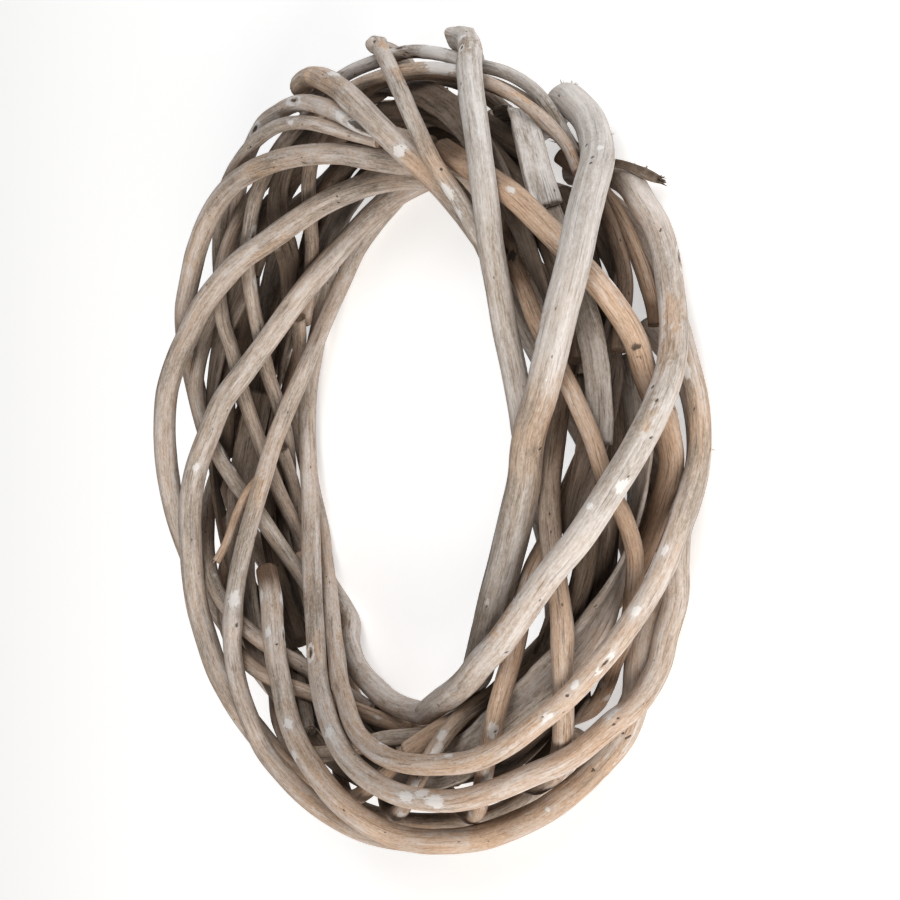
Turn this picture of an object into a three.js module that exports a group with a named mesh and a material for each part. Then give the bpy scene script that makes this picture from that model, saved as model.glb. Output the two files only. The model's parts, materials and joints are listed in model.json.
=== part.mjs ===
// A rattan wreath that lies on its back: thick pale rods are wound one way round the ring over
// thinner rods wound the other way, round flat split splints and a loose core of plain rods.
//
// A place in the ring is given by two angles and a depth. The first angle runs clockwise round the
// ring from the top (+Y), seen from the front (+Z). The second turns about the middle of the
// bundle: 0 is outward, 90 the front, 180 towards the hole and 270 the back. The depth is measured
// inward from the outer skin of the bundle.

import * as THREE from "three";

// Driving dimensions, in millimetres
const OUTER_DIAMETER = 300;
const BUNDLE_HALF_WIDTH = 28.1;
const BUNDLE_HALF_HEIGHT = 33.7;
const RING_RADIUS = OUTER_DIAMETER / 2 - BUNDLE_HALF_WIDTH;
const CLEARANCE = 0.22;
const SEAT_CUT = 0.7;
const BACK_PRESSED_FLAT = 1.6;
const MID_HEIGHT = BUNDLE_HALF_HEIGHT - BACK_PRESSED_FLAT;
const THIN_LAYER_DEPTH = 13.4;
const SPLINT_DEPTH = 18.4;
const SPLINT_THICKNESS = 2.4;
const SPLINT_MARGIN = 0.3;
const ROD_TIP = 0.92;

const radians = THREE.MathUtils.degToRad;

// Thick rods: name, radius, and the route as [angle round the ring, angle round the bundle, lift]
const THICK_RODS = [
  ["thick_rod_a", 4.8, [
    [182, -90], [200, -58], [220, -22], [240, 14, 1], [250, 32, 3], [259, 48, 4], [268, 58, 5],
    [279, 64, 5], [286, 70, 2], [291, 82], [298, 98], [304, 110], [313, 125], [322, 141], [331, 152],
    [341, 161], [350, 169], [363, 176], [380, 205], [392, 228], [402, 246],
  ]],
  ["thick_rod_b", 4.9, [
    [146, -86], [158, -66], [170, -42], [190, -4, -2], [205, 28, -4], [212, 44, -4], [218, 56, -2],
    [225, 63], [233, 66], [241, 70], [248, 86], [259, 100], [265, 110], [272, 124], [281, 138],
    [291, 159], [302, 176], [313, 191], [323, 208], [333, 214, 1], [343, 212, 2], [353, 206, 2],
    [362, 218, 1], [374, 248],
  ]],
  ["thick_rod_c", 3.9, [
    [126, -74], [138, -52], [150, -30], [168, 6, -1], [181, 29], [187, 39], [193, 50], [198, 60],
    [203, 66], [207, 72], [211, 84], [219, 97], [227, 112], [233, 123], [244, 143], [253, 157],
    [262, 169], [272, 183], [281, 197], [291, 215], [299, 235], [309, 238, 2], [318, 236, 2],
    [328, 238, 3], [338, 242, 4], [350, 247, 2], [360, 256], [371, 274],
  ]],
  ["thick_rod_d", 4.2, [
    [70, -104], [76, -88, 1], [81, -74, 2], [86, -68, 2], [91, -62, 1], [95, -55, -1], [98, -49, -3],
    [101, -43, -4], [105, -40, -3], [111, -45, -1], [117, -47, -1], [121, -42], [125, -26, 1],
    [128, -11], [132, 5], [138, 25], [145, 41], [151, 53], [157, 68], [165, 86], [177, 111],
    [184, 125], [191, 137], [198, 148], [205, 158], [212, 168], [218, 177], [231, 193], [242, 206],
    [257, 225], [271, 238, -1], [280, 241, -2], [290, 248, -2], [300, 264], [312, 284],
  ]],
  ["thick_rod_e", 3.8, [
    [46, -94], [56, -78, -1], [64, -66, -2], [70, -57, -2], [77, -50, -1], [84, -51, 1], [88, -50, 1],
    [92, -45, 1], [95, -38], [97, -30], [100, -22], [104, -14], [109, -3], [115, 12], [122, 27],
    [129, 42], [134, 50], [140, 62], [144, 71], [150, 86], [159, 102], [167, 116], [176, 129],
    [186, 145], [194, 158], [203, 170], [210, 181], [218, 192], [232, 214], [244, 235], [251, 242, 1],
    [262, 258], [276, 284], [288, 306],
  ]],
  ["thick_rod_f", 4.8, [
    [36, -100], [42, -80], [47, -62], [51, -51, 1], [55, -46, 1], [60, -47, 2], [64, -47, 1],
    [68, -42], [72, -33], [76, -25], [80, -16], [85, -1], [89, 11], [94, 28], [100, 44], [105, 59],
    [110, 73], [116, 85], [122, 96], [130, 113], [136, 125, -1], [141, 135, -1], [150, 148, -2],
    [162, 164, -2], [175, 180, -1], [193, 195, -2], [212, 223, -5], [221, 233, -4], [228, 240, 1],
    [238, 256], [248, 273],
  ]],
  ["thick_rod_g", 5.8, [
    [20, -98], [27, -70], [31, -50], [34, -36, 1], [36, -31, 2], [38, -31, 2], [40, -33, 2],
    [43, -32], [47, -20], [51, -8], [54, 2], [56, 10], [59, 20], [64, 34], [69, 47], [73, 59],
    [78, 72], [82, 82], [86, 97], [91, 114], [96, 117], [101, 118, 1.5], [106, 120, 2.5], [112, 122, 3],
    [118, 123, 3], [124, 127, 2], [132, 135], [140, 150, -2], [150, 172], [165, 200], [185, 238],
    [197, 262], [206, 279],
  ]],
  ["thick_rod_h", 4.5, [
    [2, -78], [8, -46], [12, -22, 2], [14, -6, 4], [16, -1, 4], [17, 0, 4], [19, 4, 4], [24, 15, 3],
    [28, 27, 3], [32, 38, 1], [38, 53, -1], [43, 64, -2], [49, 77, -2], [54, 89, -1], [59, 101],
    [63, 112], [68, 120, 1], [76, 121, 1], [85, 124], [91, 137], [100, 156, -1], [112, 178, -2],
    [124, 198, -2], [142, 230, -1], [152, 248], [162, 265],
  ]],
  ["thick_rod_i", 3.1, [
    [348, -66], [354, -34], [358, -4], [361, 20, 1], [363, 25, 1], [365, 30, 1], [370, 43], [375, 56],
    [380, 68], [385, 80], [390, 91], [395, 102], [399, 109, -1], [403, 116, -2], [408, 124, -2],
    [414, 132, -2], [424, 150, -1], [440, 180], [460, 216], [474, 242], [486, 262],
  ]],
  ["thick_rod_j", 4.4, [
    [329, -52], [337, -16], [342, 14], [345, 36, 1], [347, 45, 2], [349, 45, 2], [352, 49, 1],
    [357, 60], [363, 73], [368, 84], [375, 99], [380, 112, -1], [384, 125, -2], [388, 133, -2],
    [398, 143, -1], [412, 160], [430, 190], [450, 226], [466, 255],
  ]],
  ["thick_rod_k", 3.4, [
    [258, -76], [270, -54], [285, -26, -1], [300, 2, -3], [312, 24, -3], [320, 38, -2], [326, 48, -1],
    [331, 52], [336, 54, 1], [342, 60], [347, 67], [352, 75], [358, 86], [364, 97], [369, 106],
    [375, 113, -2], [380, 117, -6], [385, 121, -9],
  ]],
  ["thick_rod_l", 2.9, [
    [252, -70], [266, -44], [280, -18, -1], [300, 18, -2], [312, 38, -1], [320, 50], [328, 62],
    [334, 68], [341, 76], [346, 83], [352, 91], [358, 100], [364, 109, -1], [372, 120, -4],
  ]],
  ["thick_rod_m", 4.3, [
    [222, -86], [240, -52], [258, -18], [272, 10, -2], [285, 38, -1], [292, 54, 1], [299, 62, 2],
    [305, 64, 2], [310, 64, 3], [315, 63, 2], [320, 66, 1], [329, 85], [339, 103], [348, 116],
    [356, 125], [364, 132], [374, 137], [381, 140, -3], [390, 153, -3], [400, 166], [410, 182],
    [422, 202], [430, 214],
  ]],
  ["thick_rod_n", 4.7, [
    [84, -126], [92, -112], [100, -98, -1], [108, -80, -5], [114, -66, -7], [119, -56, -8],
    [124, -46, -4], [130, -40, 1], [136, -35, 2], [142, -30, 1], [148, -25, 1], [155, -15], [160, -4],
    [165, 18], [171, 34], [175, 52], [180, 71], [185, 86], [190, 98], [196, 107], [201, 116], [206, 125],
    [211, 133], [217, 140], [222, 146], [230, 155], [236, 161, -2], [241, 164, -5],
  ]],
];

// Thin rods wind the other way, under the thick ones
const THIN_RODS = [
  ["thin_rod_a", 4.2, "tan", [
    [31, 106], [37, 99], [43, 86], [50, 66], [57, 51], [67, 27], [75, 3], [80, -9, -2], [84, -21, -3],
    [88, -35, -3], [93, -52, -1], [99, -66, -1], [108, -95], [122, -132], [136, -168, -2],
    [150, -205, -3], [164, -242, -1],
  ]],
  ["thin_rod_b", 3.1, "grey", [
    [30, 210], [40, 180], [50, 150], [57, 128], [65, 122], [71, 106], [80, 74], [85, 59], [89, 48],
    [94, 37], [99, 17], [103, 2, -1], [109, -14, -2], [118, -32, -2], [125, -51, -3], [135, -75],
    [150, -115], [165, -155],
  ]],
  ["thin_rod_c", 3.7, "grey", [
    [68, 200], [80, 165], [90, 135], [96, 122, 1], [102, 110], [107, 87], [114, 62], [120, 48],
    [126, 34], [133, 13], [140, -8], [150, -35], [165, -75], [180, -115], [194, -152],
  ]],
  ["thin_rod_d", 3.4, "tan", [
    [84, 212], [95, 180], [105, 150], [112, 128, 2], [118, 122, 2], [125, 110], [131, 94], [136, 81],
    [141, 66], [146, 50], [160, 3], [175, -45], [190, -90], [204, -128],
  ]],
  ["thin_rod_e", 3.2, "grey", [
    [112, 240], [125, 205], [140, 165], [148, 143, 1], [153, 125], [156, 108], [160, 90], [164, 74],
    [172, 44], [185, 0], [200, -50], [215, -95], [228, -134],
  ]],
  ["thin_rod_f", 3.2, "tan", [
    [138, 232], [155, 180], [162, 155], [167, 130], [170, 110], [174, 92], [180, 68], [190, 35],
    [205, -15], [220, -60], [235, -110], [246, -146],
  ]],
  ["thin_rod_g", 3.3, "grey", [
    [156, 210], [166, 180], [176, 150], [186, 120], [196, 90], [206, 58, -2], [218, 20, -1], [232, -25],
    [246, -70], [260, -115], [270, -150],
  ]],
  ["thin_rod_h", 3.1, "tan", [
    [186, 210], [196, 180], [206, 150], [218, 113], [225, 92], [235, 62], [248, 20], [262, -25],
    [276, -70], [290, -115], [300, -148],
  ]],
  ["thin_rod_i", 3.4, "grey", [
    [200, 210], [213, 170], [225, 133], [237, 98], [247, 69], [260, 30], [274, -10], [288, -55],
    [302, -100], [314, -138],
  ]],
  ["thin_rod_j", 3.4, "grey", [
    [218, 262], [228, 235], [238, 210], [248, 184], [256, 163], [264, 140], [270, 118], [276, 92],
    [283, 68, 1], [292, 38], [305, 0], [320, -45], [335, -90], [348, -130],
  ]],
  ["thin_rod_k", 3.2, "tan", [
    [236, 282], [244, 262], [250, 242], [253, 224], [258, 206], [263, 191], [270, 178], [275, 169],
    [281, 157], [290, 140], [296, 120], [301, 98], [308, 72], [318, 42], [332, 2], [346, -40],
    [360, -82], [370, -114],
  ]],
  ["thin_rod_l", 3.1, "grey", [
    [246, 290], [256, 266], [262, 248], [267, 236], [272, 220], [277, 205], [283, 190], [288, 178],
    [298, 158], [303, 146], [308, 132], [318, 108], [328, 84], [342, 40], [356, -2], [370, -44],
    [384, -86],
  ]],
  ["thin_rod_m", 3.0, "tan", [
    [298, 245], [308, 222], [318, 196], [328, 168], [338, 136], [348, 100], [356, 74], [368, 38],
    [382, 0], [396, -44], [410, -88],
  ]],
];

// Slim canes and broken ends that show between the rods: the third value is the tip's share of the radius
const SLIM_CANES = [
  ["edge_cane_a", 2.8, 0.8, "grey", [
    [344, 50, 4], [353, 38, 6], [360, 29, 7], [367, 18, 8], [373, 10, 7], [378, 2, 5], [383, -8, 5],
    [388, -16, 6], [394, -22, 5], [399, -28, 2], [404, -33, -1],
  ]],
  ["edge_cane_b", 2.5, 0.8, "tan", [
    [350, 84, 3], [357, 72, 4], [364, 60, 5], [369, 52, 5], [374, 40, 5], [379, 28, 5], [385, 20, 5],
    [391, 13, 5], [397, 6, 5], [402, -3, 4], [406, -6, 3], [410, -4, 2],
  ]],
  ["slim_cane_a", 3.0, 0.8, "tan", [
    [41, -34, -1], [47, -44, 1], [52, -45, 2], [56, -46, 2], [60, -49, 2], [63, -49, 2], [67, -49, 2],
    [70, -50, 2], [73, -52, 1],
  ]],
  ["slim_cane_b", 2.5, 1.1, "grey", [
    [48, -29, -2], [53, -25, -1], [57, -24, -1], [61, -22, -1], [65, -20, -1], [69, -14, -2],
    [73, -6, -4], [77, 2, -5],
  ]],
  ["slim_cane_c", 1.9, 0.9, "tan", [
    [264, 184, 1], [261, 168, 1], [257, 150, 2], [253, 138, 2], [249, 125, 2], [246, 109, 3],
  ]],
  ["cut_stub", 2.6, 0.95, "grey", [[222, 168, -2], [215, 153, -1], [207, 139], [200, 122, 1]]],
  ["broken_twig", 2.1, 0.5, "splint", [
    [38, -46, -1], [42, -45, 1], [45, -43, 4], [47, -42, 6], [49, -41, 10], [52, -42, 15], [54, -41, 18],
  ]],
];

// Rods buried in the middle of the bundle: name, radius and route
const CORE_RODS = [
  ["core_rod_a", 4.2, [[2, 84, -11], [20, 70, -11], [40, 96, -11], [60, 112, -11], [78, 90, -11]]],
  ["core_rod_b", 3.8, [[90, 100, -11], [108, 74, -11], [128, 92, -11], [147, 88, -12], [162, 66, -12]]],
  ["core_rod_c", 4.3, [[178, 104, -11], [198, 82, -11], [218, 100, -11], [238, 84, -11], [256, 94, -11]]],
  ["core_rod_d", 4.0, [[268, 78, -11], [288, 96, -11], [308, 110, -11], [330, 84, -11], [350, 98, -11]]],
  ["core_rod_e", 4.4, [
    [46, 262, -11], [60, 246, -11], [74, 222, -12], [90, 200, -12], [108, 200, -12], [126, 224, -11],
  ]],
  ["core_rod_f", 4.0, [[138, 280, -11], [158, 262, -11], [178, 276, -11], [198, 256, -11], [216, 270, -11]]],
  ["core_rod_g", 3.9, [[228, 258, -11], [248, 278, -11], [268, 264, -11], [288, 282, -11], [306, 266, -11]]],
  ["core_rod_h", 4.3, [[318, 276, -11], [338, 258, -11], [358, 272, -11], [376, 286, -11], [394, 268, -11]]],
];

// Flat splints of the core: name, width and route
const SPLINTS = [
  ["core_splint_a", 9, [
    [20, -75], [26, -48], [31, -24], [37, 2], [43, 22], [50, 38], [59, 44, -1], [67, 41, -1],
    [75, 38], [83, 38], [90, 42],
  ]],
  ["core_splint_b", 12, [
    [50, -95], [62, -60, -2], [70, -30, -5], [77, 0, -5.8], [84, 35, -6], [91, 70, -6], [100, 108, -3.4],
    [110, 140, -2], [120, 162], [127, 172],
  ]],
  ["core_splint_c", 17, [
    [76, -110, -3], [86, -85, -4], [94, -62, -4], [103, -40, -4], [111, -14, -3], [119, 16, -1],
    [129, 50], [145, 90, -2], [160, 120, -5], [176, 150, -5], [190, 180, -5],
  ]],
  ["core_splint_d", 13, [
    [130, -56, -3], [134, -51, -3], [138, -46, -1], [150, -25], [170, 10], [190, 45, -3], [210, 80, -4],
    [230, 110, -1], [250, 140], [266, 163],
    [282, 186],
  ]],
  ["core_splint_e", 12, [
    [186, -118], [200, -88], [215, -55], [230, -20], [250, 20], [270, 58], [290, 95], [308, 122],
  ]],
  ["core_splint_f", 12, [
    [222, -140], [238, -112], [255, -78], [275, -40], [295, -4], [308, 20], [320, 42],
  ]],
  ["core_splint_g", 11, [
    [255, -170], [275, -138], [295, -106], [315, -76], [335, -56], [352, -50], [368, -54],
  ]],
  ["core_splint_h", 12, [
    [328, -150], [338, -138], [350, -130], [370, -128], [384, -134], [398, -142],
  ]],
  ["core_splint_i", 11, [
    [352, 5], [362, 22], [372, 38], [382, 52], [391, 66], [402, 84], [412, 104], [424, 128], [436, 155],
  ]],
  ["core_splint_j", 12, [
    [78, -178], [98, -162], [118, -142], [138, -122], [154, -106], [168, -92],
  ]],
  ["core_splint_k", 10, [
    [302, 206], [308, 196], [314, 176], [322, 135], [331, 92], [338, 62], [345, 34],
  ]],
  ["core_splint_l", 10, [
    [33, -6, 3.4], [36, 4, 4.6], [39, 14, 5.6], [43, 23, 5.9], [47, 31, 5.7], [51, 37, 4.5], [54, 40, 2.4],
  ]],
  ["core_splint_m", 12, [[304, -90, 7.8], [312, -87, 8.2], [324, -85, 8.4], [337, -86, 8.4]]],
  ["core_splint_n", 9, [[286, -34, 7.9], [300, -31, 7.9], [314, -28, 7.9]]],
];

// How finely a rod is divided
const THICK_SIDES = 10;
const THIN_SIDES = 7;
const THICK_CORNER_SHARE = 1.02;
const THIN_CORNER_SHARE = 1.03;
const LONGEST_STEP = 15;
const LONGEST_SPLINT_STEP = 10;
const SHORTEST_STEP = 3.5;
const SHARPEST_TURN = radians(17);
const SCAN_STEPS = 500;

const outwardAt = (around, wrap) =>
  new THREE.Vector3(Math.cos(wrap) * Math.sin(around), Math.cos(wrap) * Math.cos(around), Math.sin(wrap));

function placeInRing(aroundDegrees, wrapDegrees, depth) {
  const around = radians(aroundDegrees);
  const wrap = radians(wrapDegrees);
  const reach = RING_RADIUS + (BUNDLE_HALF_WIDTH - depth) * Math.cos(wrap);
  const height = MID_HEIGHT + (BUNDLE_HALF_HEIGHT - depth) * Math.sin(wrap);
  return new THREE.Vector3(reach * Math.sin(around), reach * Math.cos(around), height);
}

// The direction away from the middle of the bundle at a point
function outwardFrom(point) {
  const around = Math.atan2(point.x, point.y);
  const across = Math.hypot(point.x, point.y) - RING_RADIUS;
  const wrap = Math.atan2((point.z - MID_HEIGHT) / BUNDLE_HALF_HEIGHT, across / BUNDLE_HALF_WIDTH);
  return outwardAt(around, wrap);
}

// Points along a smooth curve, closer together where it bends
function divide(curve, longest) {
  const scan = curve.getPoints(SCAN_STEPS);
  const points = [scan[0]];
  let last = 0;
  let turned = 0;
  for (let i = 1; i < scan.length - 1; i += 1) {
    const before = scan[i].clone().sub(scan[i - 1]);
    const after = scan[i + 1].clone().sub(scan[i]);
    turned += before.angleTo(after);
    const length = scan[i].distanceTo(scan[last]);
    const bendsEnough = turned > SHARPEST_TURN && length > SHORTEST_STEP;
    if (bendsEnough || length > longest) {
      points.push(scan[i]);
      last = i;
      turned = 0;
    }
  }
  const end = scan[scan.length - 1];
  if (points[points.length - 1].distanceTo(end) < SHORTEST_STEP) {
    points.pop();
  }
  points.push(end);
  return points;
}

function smoothRoute(route, layerDepth, longest) {
  const places = route.map(([around, wrap, lift = 0]) => placeInRing(around, wrap, layerDepth - lift));
  return divide(new THREE.CatmullRomCurve3(places, false, "centripetal"), longest);
}

// A rod thins evenly from its butt to its tip
function routeRod(route, radius, tipShare, layerDepth) {
  const points = smoothRoute(route, layerDepth, LONGEST_STEP);
  const last = points.length - 1;
  const girths = points.map((_, i) => radius * (1 + (tipShare - 1) * (i / last)));
  return { points, home: points.map((p) => p.clone()), girths, fixed: false };
}

// Winding the rods on: each is pulled to its own route and pushed off the rods that it meets
const SETTLING_PASSES = 400;
const PARTING_PASSES = 400;
const PULL = 0.03;
const STIFFNESS = 0.35;
const MEETING_REACH = 12;
const PASSES_PER_SEARCH = 20;
const NEARLY_PARALLEL = 1e-9;

function closestOnSegments(p1, q1, p2, q2) {
  const d1 = q1.clone().sub(p1);
  const d2 = q2.clone().sub(p2);
  const r = p1.clone().sub(p2);
  const a = d1.lengthSq();
  const e = d2.lengthSq();
  const f = d2.dot(r);
  const c = d1.dot(r);
  const b = d1.dot(d2);
  const denominator = a * e - b * b;
  const clamp = (v) => Math.min(1, Math.max(0, v));
  let s = denominator > NEARLY_PARALLEL ? clamp((b * f - c * e) / denominator) : 0.5;
  let t = (b * s + f) / e;
  if (t < 0 || t > 1) {
    t = clamp(t);
    s = clamp((b * t - c) / a);
  }
  const gap = p2.clone().addScaledVector(d2, t).sub(p1.clone().addScaledVector(d1, s));
  return { s, t, gap };
}

function findMeetings(rods) {
  const segments = [];
  rods.forEach((rod) => {
    for (let i = 0; i + 1 < rod.points.length; i += 1) {
      const middle = rod.points[i].clone().lerp(rod.points[i + 1], 0.5);
      segments.push({ rod, i, middle, half: rod.points[i].distanceTo(rod.points[i + 1]) / 2 });
    }
  });
  const meetings = [];
  for (let m = 0; m < segments.length; m += 1) {
    for (let n = m + 1; n < segments.length; n += 1) {
      const one = segments[m];
      const two = segments[n];
      const apart = one.rod !== two.rod && !(one.rod.fixed && two.rod.fixed);
      if (apart && one.middle.distanceTo(two.middle) < one.half + two.half + MEETING_REACH) {
        meetings.push([one, two]);
      }
    }
  }
  return meetings;
}

const girthAlong = (rod, i, share) => rod.girths[i] * (1 - share) + rod.girths[i + 1] * share;

function pushApart(meetings) {
  for (const [one, two] of meetings) {
    const a = one.rod.points;
    const b = two.rod.points;
    const { s, t, gap } = closestOnSegments(a[one.i], a[one.i + 1], b[two.i], b[two.i + 1]);
    const wanted = girthAlong(one.rod, one.i, s) + girthAlong(two.rod, two.i, t) + CLEARANCE;
    const distance = gap.length();
    const short = wanted - distance;
    if (short > 0 && distance > 0) {
      const push = gap.multiplyScalar(short / distance);
      const share = one.rod.fixed ? 0 : two.rod.fixed ? 1 : 0.5;
      if (!one.rod.fixed) {
        a[one.i].addScaledVector(push, -share * (1 - s));
        a[one.i + 1].addScaledVector(push, -share * s);
      }
      if (!two.rod.fixed) {
        b[two.i].addScaledVector(push, (1 - share) * (1 - t));
        b[two.i + 1].addScaledVector(push, (1 - share) * t);
      }
    }
  }
}

function restOnFloor(rod) {
  rod.points.forEach((p, i) => {
    p.z = Math.max(p.z, rod.girths[i] - SEAT_CUT);
  });
}

function pullHome(rod) {
  const shifts = rod.points.map((p, i) => p.clone().sub(rod.home[i]));
  rod.points.forEach((p, i) => {
    const before = shifts[Math.max(0, i - 1)];
    const after = shifts[Math.min(shifts.length - 1, i + 1)];
    const even = before.clone().add(after).multiplyScalar(0.5);
    const eased = shifts[i].clone().lerp(even, STIFFNESS).multiplyScalar(1 - PULL);
    p.copy(rod.home[i]).add(eased);
  });
}

function windOn(rods) {
  let meetings = [];
  const loose = rods.filter((rod) => !rod.fixed);
  for (let pass = 0; pass < SETTLING_PASSES + PARTING_PASSES; pass += 1) {
    if (pass % PASSES_PER_SEARCH === 0) {
      meetings = findMeetings(rods);
    }
    if (pass < SETTLING_PASSES) {
      loose.forEach(pullHome);
    }
    pushApart(meetings);
    loose.forEach(restOnFloor);
  }
}

// How much of the section's last direction it keeps from one point to the next
const TWIST_KEPT = 0.35;

// A path through settled points whose section turns with the bundle
class WoundPath extends THREE.Curve {
  constructor(points, girths) {
    super();
    this.points = points;
    this.girths = girths;
  }

  getPoint(t) {
    return this.points[Math.round(t * (this.points.length - 1))].clone();
  }

  getPointAt(u) {
    return this.getPoint(u);
  }

  computeFrenetFrames(segments) {
    const tangents = [];
    const normals = [];
    const binormals = [];
    for (let i = 0; i <= segments; i += 1) {
      const before = this.points[Math.max(0, i - 1)];
      const after = this.points[Math.min(segments, i + 1)];
      const tangent = after.clone().sub(before).normalize();
      const normal = outwardFrom(this.points[i]);
      if (i > 0) {
        normal.addScaledVector(normals[i - 1].clone().normalize(), TWIST_KEPT);
      }
      normal.addScaledVector(tangent, -normal.dot(tangent)).normalize();
      const binormal = tangent.clone().cross(normal);
      tangents.push(tangent);
      normals.push(normal.multiplyScalar(this.girths[i]));
      binormals.push(binormal.multiplyScalar(this.girths[i]));
    }
    return { tangents, normals, binormals };
  }
}

// The corners stand a little outside the rod's radius and the flats a little inside it
function roundSection(sides, cornerShare) {
  const corners = [];
  for (let k = 0; k < sides; k += 1) {
    const angle = ((k + 0.5) / sides) * 2 * Math.PI;
    corners.push(new THREE.Vector2(Math.cos(angle), Math.sin(angle)).multiplyScalar(cornerShare));
  }
  return new THREE.Shape(corners);
}

function splintSection(width) {
  const half = width / 2;
  const thick = SPLINT_THICKNESS / 2;
  const bevel = SPLINT_THICKNESS / 3;
  return new THREE.Shape([
    new THREE.Vector2(thick, -half + bevel),
    new THREE.Vector2(thick, half - bevel),
    new THREE.Vector2(0, half),
    new THREE.Vector2(-thick, half - bevel),
    new THREE.Vector2(-thick, -half + bevel),
    new THREE.Vector2(0, -half),
  ]);
}

// Sweeps a section along settled points; what would sink into the floor is flattened on it
function sweep(points, girths, section) {
  const geometry = new THREE.ExtrudeGeometry(section, {
    steps: points.length - 1,
    extrudePath: new WoundPath(points, girths),
    curveSegments: 1,
  });
  const position = geometry.getAttribute("position");
  for (let i = 0; i < position.count; i += 1) {
    position.setZ(i, Math.max(0, position.getZ(i)));
  }
  return geometry;
}

const FINISHES = {
  thick: { color: 0xa8998a, roughness: 0.9 },
  tan: { color: 0xa27f62, roughness: 0.88 },
  grey: { color: 0x968677, roughness: 0.9 },
  splint: { color: 0x8f7f70, roughness: 0.92 },
};

function addPiece(group, name, geometry, finish) {
  const material = new THREE.MeshStandardMaterial({ ...FINISHES[finish], metalness: 0 });
  const mesh = new THREE.Mesh(geometry, material);
  mesh.name = name;
  group.add(mesh);
}

// The centre line of a splint, and the slim strands across its width that the rods rest on
function routeSplint(width, route) {
  const places = smoothRoute(route, SPLINT_DEPTH, LONGEST_SPLINT_STEP);
  const { binormals } = new WoundPath(places, places.map(() => 1)).computeFrenetFrames(places.length - 1);
  const strands = [];
  const radius = SPLINT_THICKNESS / 2 + SPLINT_MARGIN;
  const strandCount = Math.round(width / SPLINT_THICKNESS);
  for (let k = 0; k < strandCount; k += 1) {
    const offset = (width / 2 - radius) * ((2 * k) / (strandCount - 1) - 1);
    const points = places.map((p, i) => p.clone().addScaledVector(binormals[i], offset));
    strands.push({ points, girths: points.map(() => radius), fixed: true });
  }
  return { places, strands };
}

function buildWreath() {
  const group = new THREE.Group();
  const splints = SPLINTS.map(([name, width, route]) => ({ name, width, ...routeSplint(width, route) }));
  const thick = THICK_RODS.map(([name, radius, route]) => (
    { name, finish: "thick", ...routeRod(route, radius, ROD_TIP, radius) }));
  const thin = THIN_RODS.map(([name, radius, finish, route]) => (
    { name, finish, ...routeRod(route, radius, ROD_TIP, THIN_LAYER_DEPTH) }));
  const slim = SLIM_CANES.map(([name, radius, tipShare, finish, route]) => (
    { name, finish, ...routeRod(route, radius, tipShare, THIN_LAYER_DEPTH) }));
  const core = CORE_RODS.map(([name, radius, route]) => (
    { name, finish: "splint", ...routeRod(route, radius, ROD_TIP, THIN_LAYER_DEPTH) }));
  windOn([...thick, ...thin, ...slim, ...core, ...splints.flatMap((splint) => splint.strands)]);

  const thickSection = roundSection(THICK_SIDES, THICK_CORNER_SHARE);
  thick.forEach((rod) => {
    addPiece(group, rod.name, sweep(rod.points, rod.girths, thickSection), rod.finish);
  });
  const thinSection = roundSection(THIN_SIDES, THIN_CORNER_SHARE);
  [...thin, ...slim, ...core].forEach((rod) => {
    addPiece(group, rod.name, sweep(rod.points, rod.girths, thinSection), rod.finish);
  });
  splints.forEach((splint) => {
    const geometry = sweep(splint.places, splint.places.map(() => 1), splintSection(splint.width));
    addPiece(group, splint.name, geometry, "splint");
  });

  const box = new THREE.Box3().setFromObject(group);
  const centre = box.getCenter(new THREE.Vector3());
  group.position.set(-centre.x, -centre.y, 0);
  return group;
}

export default buildWreath();
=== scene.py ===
import json
import math
import zlib

import bmesh
import bpy
import numpy as np
from mathutils import Matrix, Vector


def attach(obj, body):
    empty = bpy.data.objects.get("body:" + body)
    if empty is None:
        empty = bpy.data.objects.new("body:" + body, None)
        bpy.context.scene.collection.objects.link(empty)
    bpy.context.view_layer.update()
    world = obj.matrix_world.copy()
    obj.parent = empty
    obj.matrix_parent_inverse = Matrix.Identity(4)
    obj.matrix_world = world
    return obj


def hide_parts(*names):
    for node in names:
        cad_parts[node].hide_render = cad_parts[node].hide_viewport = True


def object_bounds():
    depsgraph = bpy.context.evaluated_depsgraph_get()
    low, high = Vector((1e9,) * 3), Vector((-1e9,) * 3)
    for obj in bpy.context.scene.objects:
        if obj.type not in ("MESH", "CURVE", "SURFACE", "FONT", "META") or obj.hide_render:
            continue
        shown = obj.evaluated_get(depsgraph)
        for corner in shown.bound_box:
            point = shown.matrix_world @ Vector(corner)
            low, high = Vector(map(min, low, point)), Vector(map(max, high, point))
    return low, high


# A rattan wreath. Every rod and splint of the CAD model is rebuilt along its own middle line, with the
# swellings, knots, cracks and rough ends of weathered cane.

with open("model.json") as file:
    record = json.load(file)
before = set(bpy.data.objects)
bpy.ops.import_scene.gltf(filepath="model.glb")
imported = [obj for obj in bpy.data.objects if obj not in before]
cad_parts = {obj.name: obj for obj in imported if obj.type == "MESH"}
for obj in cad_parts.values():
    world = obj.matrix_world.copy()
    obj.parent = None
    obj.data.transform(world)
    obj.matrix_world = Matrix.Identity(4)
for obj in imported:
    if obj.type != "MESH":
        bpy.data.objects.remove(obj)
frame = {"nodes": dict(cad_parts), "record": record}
cad_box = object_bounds()

MM = 0.001

# The ring, in metres, as in the part: its middle and the bundle's half sizes
RING_CENTRE = np.array([-0.152, -0.822, 32.1]) * MM
RING_RADIUS = 121.9 * MM
BUNDLE_HALF_WIDTH = 28.1 * MM
BUNDLE_HALF_HEIGHT = 33.7 * MM

# The section that each kind of solid is swept from in the part: its sides, and how far its corners
# stand from the middle against the rod's radius
THICK_SECTION = (10, 1.02)
THIN_SECTION = (7, 1.03)
SPLINT_SIDES = 6

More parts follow.
